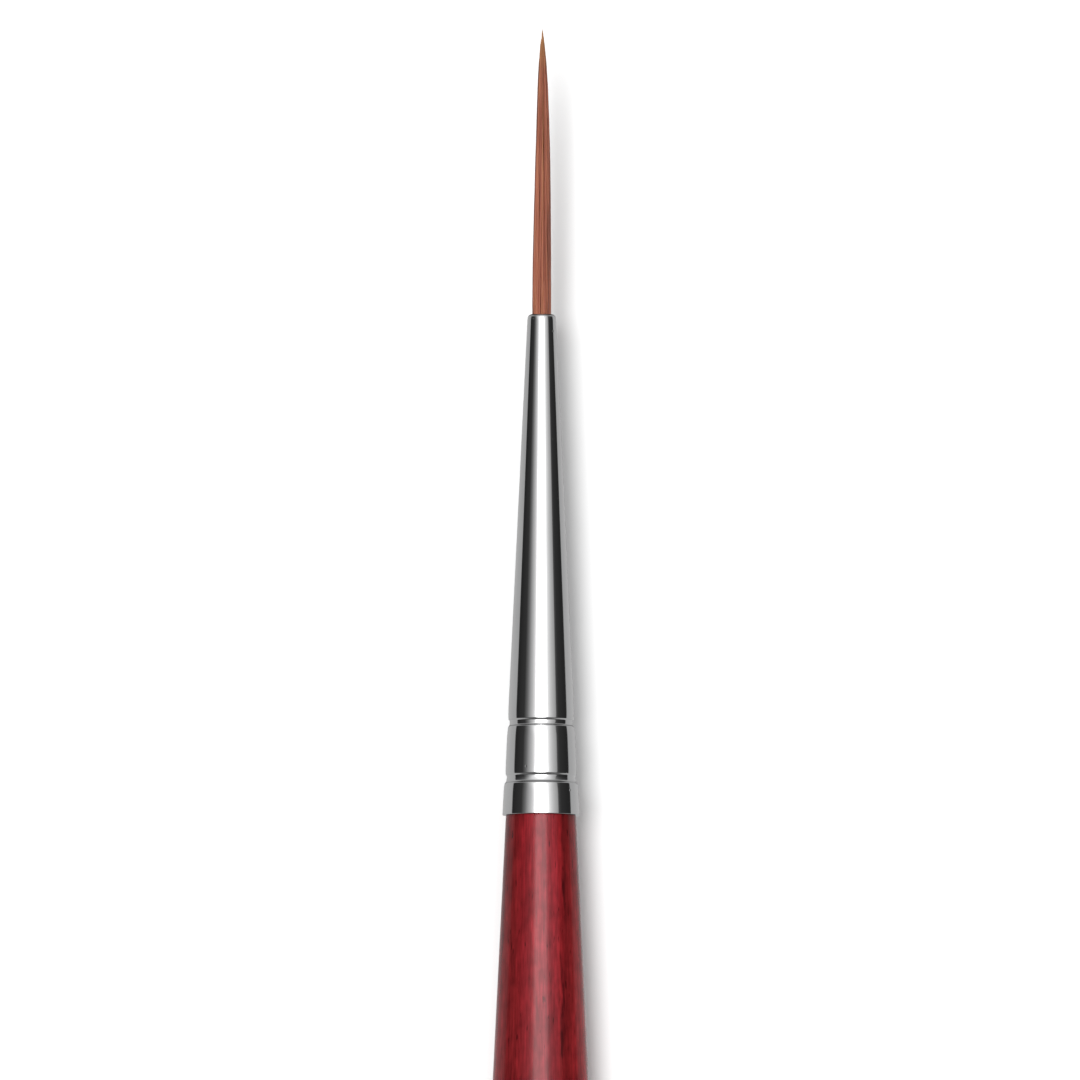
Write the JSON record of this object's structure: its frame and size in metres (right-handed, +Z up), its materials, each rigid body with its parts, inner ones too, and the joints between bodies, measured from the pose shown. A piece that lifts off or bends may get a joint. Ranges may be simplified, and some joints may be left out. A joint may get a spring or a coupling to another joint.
{
  "type": "fine detail brush",
  "caption": "Slim artist's brush: a long needle-pointed tuft of hair in a tapered, crimped metal ferrule on a turned, stained wooden handle.",
  "frame": {"origin": "on the table, under the middle of the lying brush's bounding box", "axes": "+Y along the lying brush towards the hair's tip, +Z straight up from the table, +X to the right as seen from above with the tip pointing away; the brush's own axis rises 0.86 degrees towards the tip"},
  "size_m": [0.0068, 0.187, 0.0068],
  "materials": {
    "stained_wood": "gloss",
    "nickel_plate": "polished",
    "hair": "satin",
    "thread": "matte",
    "resin": "gloss",
    "glue": "satin"
  },
  "bodies": {
    "brush": {"handle": "stained_wood", "ferrule": "nickel_plate", "handle_glue": "glue", "hair_root": "hair", "root_binding": "thread", "resin_plug": "resin"},
    "tuft": {"hair_tuft": "hair"}
  },
  "joints": [
    {"name": "tuft_flex", "type": "hinge", "parent": "brush", "child": "tuft", "pos_m": [0, 0.07485, 0.0043], "axis": [0, -0.015, 0.9999], "range_deg": [-45, 45], "stiffness_Nm_per_rad": 0.00022}
  ]
}
